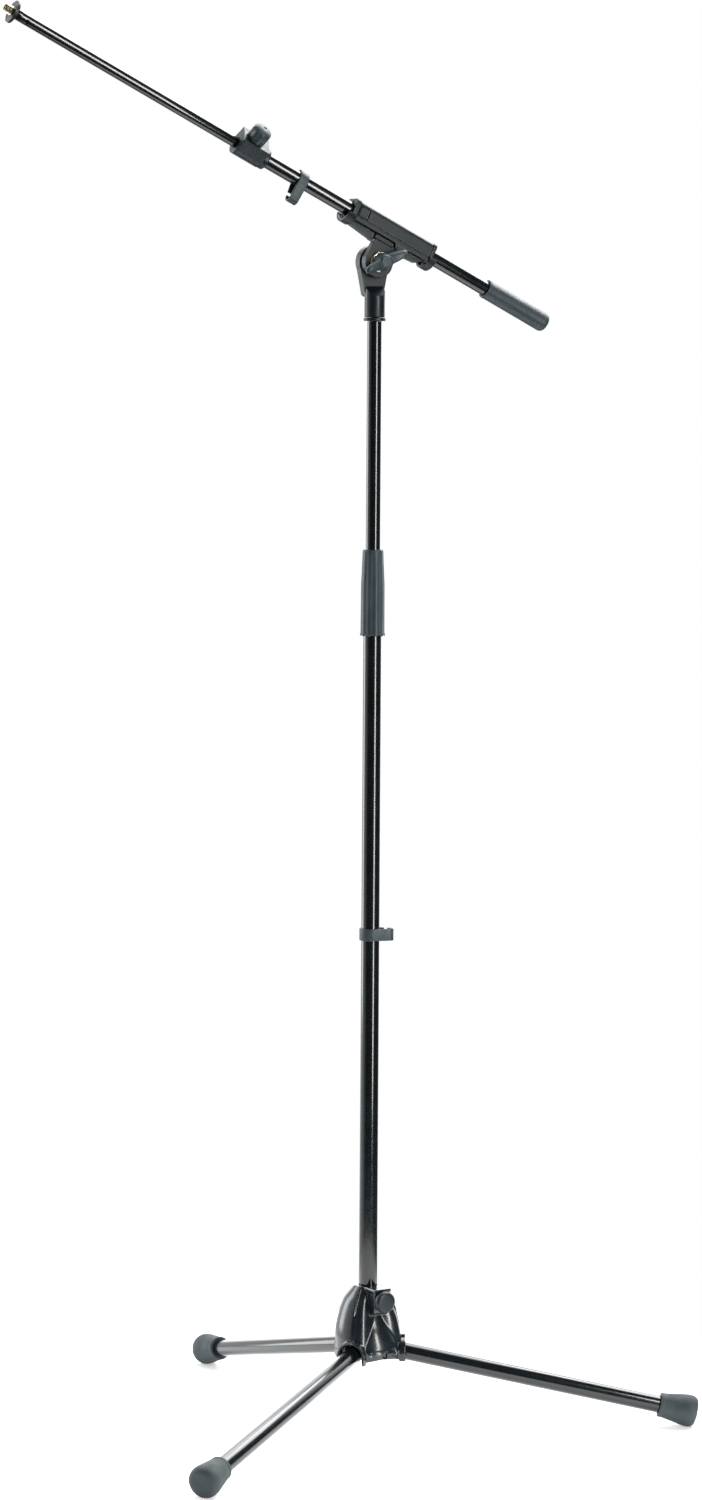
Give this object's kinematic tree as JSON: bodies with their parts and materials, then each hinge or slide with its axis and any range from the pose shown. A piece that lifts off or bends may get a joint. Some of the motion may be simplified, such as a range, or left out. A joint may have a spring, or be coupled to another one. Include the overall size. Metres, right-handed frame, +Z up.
{
  "type": "boom microphone stand",
  "caption": "Floor microphone stand with folding tripod legs, a telescopic column with a twist clutch, and a tilting telescopic boom with a threaded tip",
  "frame": {"origin": "on the floor, under the centre of the bounding box of the stand at rest", "axes": "+Z up, along the column; +X to the right and +Y to the back, seen from the side on which the boom's wing nut is"},
  "size_m": [0.7456, 0.6376, 1.5228],
  "materials": {
    "gloss_black_paint": "glossy",
    "black_casting": "glossy",
    "grey_plastic": "satin",
    "dark_plastic": "satin",
    "foot_rubber": "matte",
    "nickel": "polished",
    "zinc_steel": "satin"
  },
  "bodies": {
    "base": {"base_casting": "black_casting", "leg_pin_1": "zinc_steel", "leg_pin_2": "zinc_steel", "leg_pin_3": "zinc_steel"},
    "leg_1": {"leg_tube_1": "gloss_black_paint", "leg_bush_1": "dark_plastic", "leg_foot_1": "foot_rubber"},
    "leg_2": {"leg_tube_2": "gloss_black_paint", "leg_bush_2": "dark_plastic", "leg_foot_2": "foot_rubber"},
    "leg_3": {"leg_tube_3": "gloss_black_paint", "leg_bush_3": "dark_plastic", "leg_foot_3": "foot_rubber"},
    "base_pad": {"base_clamp_pad": "zinc_steel"},
    "base_knob": {"base_clamp_screw": "zinc_steel", "base_clamp_knob": "dark_plastic"},
    "column": {"lower_tube": "gloss_black_paint", "lower_tube_plug": "dark_plastic", "clutch_body": "zinc_steel"},
    "collet": {"clutch_collet": "dark_plastic"},
    "clutch": {"clutch_sleeve": "grey_plastic"},
    "column_clip": {"cable_clip_column": "grey_plastic"},
    "upper_guide": {"upper_guide_bush": "dark_plastic"},
    "mast": {"upper_tube": "gloss_black_paint", "upper_tube_stud": "zinc_steel", "socket_ring": "dark_plastic", "head_socket": "black_casting", "friction_disc": "dark_plastic", "tilt_bolt": "zinc_steel"},
    "carrier": {"boom_carrier": "dark_plastic", "barrel_shell": "dark_plastic"},
    "washer": {"tilt_washer": "nickel"},
    "wing": {"wing_nut": "grey_plastic", "wing_insert": "zinc_steel"},
    "liner": {"boom_liner": "dark_plastic"},
    "boom": {"boom_outer_tube": "gloss_black_paint", "boom_end_plug": "dark_plastic", "boom_grip": "grey_plastic", "tele_clamp_block": "dark_plastic"},
    "boom_clip": {"cable_clip_boom": "grey_plastic"},
    "tele_pad": {"tele_clamp_pad": "zinc_steel"},
    "tele_knob": {"tele_clamp_screw": "zinc_steel", "tele_clamp_knob": "grey_plastic"},
    "rod_bush": {"boom_inner_bush": "dark_plastic"},
    "rod": {"boom_inner_tube": "gloss_black_paint", "boom_tip_flange": "black_casting", "boom_tip_stud": "nickel"}
  },
  "joints": [
    {"name": "leg_1_fold", "type": "hinge", "parent": "base", "child": "leg_1", "pos_m": [0.03873, 0.00687, 0.086], "axis": [-0.0349, 0.9994, 0], "range_deg": [0, 77]},
    {"name": "leg_2_fold", "type": "hinge", "parent": "base", "child": "leg_2", "pos_m": [-0.005, 0.03012, 0.086], "axis": [-0.848, -0.5299, 0], "range_deg": [0, 77]},
    {"name": "leg_3_fold", "type": "hinge", "parent": "base", "child": "leg_3", "pos_m": [-0.00328, -0.01938, 0.086], "axis": [0.8829, -0.4695, 0], "range_deg": [0, 77]},
    {"name": "base_pad_press", "type": "slide", "parent": "base", "child": "base_pad", "axis": [0.5299, -0.848, 0], "range_m": [0, 0.00125]},
    {"name": "base_knob_turn", "type": "hinge", "parent": "base_pad", "child": "base_knob", "pos_m": [0.0287, -0.02381, 0.1435], "axis": [0.5299, -0.848, 0], "range_deg": [0, 360]},
    {"name": "column_slide", "type": "slide", "parent": "base", "child": "column", "axis": [0, 0, -1], "range_m": [0, 0.33]},
    {"name": "collet_squeeze", "type": "slide", "parent": "column", "child": "collet", "axis": [0, 0, 1], "range_m": [0, 0.0015]},
    {"name": "clutch_turn", "type": "hinge", "parent": "collet", "child": "clutch", "pos_m": [0.01015, 0.00587, 0.9075], "axis": [0, 0, 1], "range_deg": [0, 360]},
    {"name": "column_clip_slide", "type": "slide", "parent": "column", "child": "column_clip", "axis": [0, 0, 1], "range_m": [-0.03, 0.28]},
    {"name": "mast_slide", "type": "slide", "parent": "column", "child": "upper_guide", "axis": [0, 0, 1], "range_m": [-0.238, 0.42]},
    {"name": "mast_swivel", "type": "hinge", "parent": "upper_guide", "child": "mast", "pos_m": [0.01015, 0.00587, 1.1], "axis": [0, 0, 1], "continuous": true},
    {"name": "boom_tilt", "type": "hinge", "parent": "mast", "child": "carrier", "pos_m": [0.01015, 0.00587, 1.2645], "axis": [-0.4695, 0.8829, 0], "range_deg": [-84, 63]},
    {"name": "tilt_washer_press", "type": "slide", "parent": "carrier", "child": "washer", "axis": [0.4695, -0.8829, 0], "range_m": [0, 0.0025]},
    {"name": "wing_nut_turn", "type": "hinge", "parent": "washer", "child": "wing", "pos_m": [0.01954, -0.01179, 1.2645], "axis": [0.4695, -0.8829, 0], "range_deg": [0, 720]},
    {"name": "boom_roll", "type": "hinge", "parent": "carrier", "child": "liner", "pos_m": [0.02418, 0.01333, 1.2968], "axis": [-0.7922, -0.4212, 0.4415], "continuous": true},
    {"name": "boom_slide", "type": "slide", "parent": "liner", "child": "boom", "axis": [-0.7922, -0.4212, 0.4415], "range_m": [-0.035, 0.065]},
    {"name": "boom_clip_slide", "type": "slide", "parent": "boom", "child": "boom_clip", "axis": [-0.7922, -0.4212, 0.4415], "range_m": [-0.015, 0.035]},
    {"name": "tele_pad_press", "type": "slide", "parent": "boom", "child": "tele_pad", "axis": [0.6076, -0.4778, 0.6345], "range_m": [0, 0.001]},
    {"name": "tele_knob_turn", "type": "hinge", "parent": "tele_pad", "child": "tele_knob", "pos_m": [-0.113, -0.07563, 1.39271], "axis": [0.6076, -0.4778, 0.6345], "range_deg": [0, 360]},
    {"name": "rod_slide", "type": "slide", "parent": "boom", "child": "rod_bush", "axis": [-0.7922, -0.4212, 0.4415], "range_m": [-0.272, 0.04]},
    {"name": "rod_roll", "type": "hinge", "parent": "rod_bush", "child": "rod", "pos_m": [-0.21349, -0.11304, 1.42925], "axis": [-0.7922, -0.4212, 0.4415], "continuous": true}
  ],
  "couplings": [
    {"joint": "base_knob_turn", "follows": "base_pad_press", "rad_per_m": 5026.5},
    {"joint": "clutch_turn", "follows": "collet_squeeze", "rad_per_m": 4188.7},
    {"joint": "wing_nut_turn", "follows": "tilt_washer_press", "rad_per_m": 5026.5},
    {"joint": "tele_knob_turn", "follows": "tele_pad_press", "rad_per_m": 6283.1}
  ]
}
